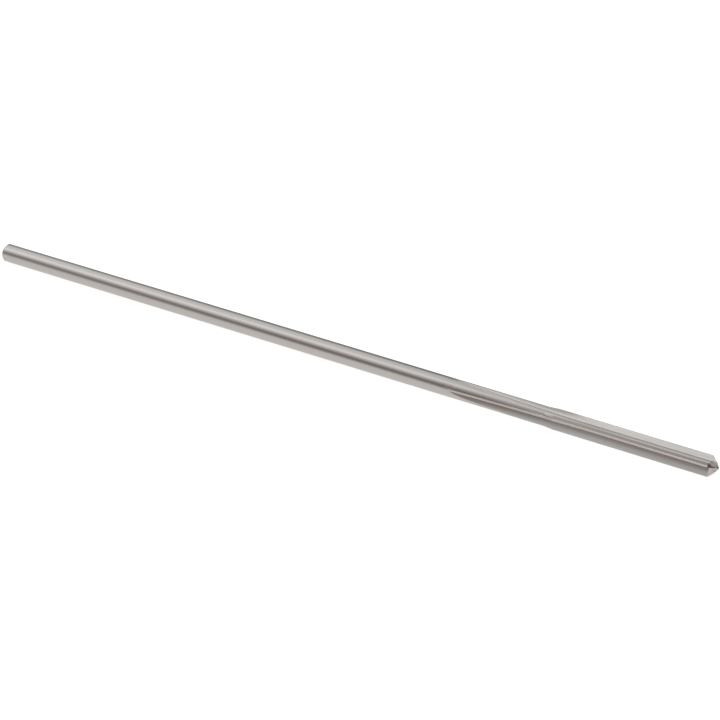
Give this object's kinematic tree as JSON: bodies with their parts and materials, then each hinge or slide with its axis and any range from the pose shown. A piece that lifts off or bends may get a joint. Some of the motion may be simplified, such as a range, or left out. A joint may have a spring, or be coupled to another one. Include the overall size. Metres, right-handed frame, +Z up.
{
  "type": "reamer",
  "caption": "Straight-shank chucking reamer with straight flutes, a 45 degree lead and a male centre at its point, lying on its shank.",
  "frame": {"origin": "on the floor that the shank lies on, below the axis, halfway along the overall length", "axes": "+X along the axis towards the cutting point, +Z up, +Y to the left when looking along +X"},
  "size_m": [0.0762, 0.0018, 0.0018],
  "materials": {
    "ground_steel": "ground"
  },
  "bodies": {
    "root": {"reamer": "ground_steel"}
  },
  "joints": []
}
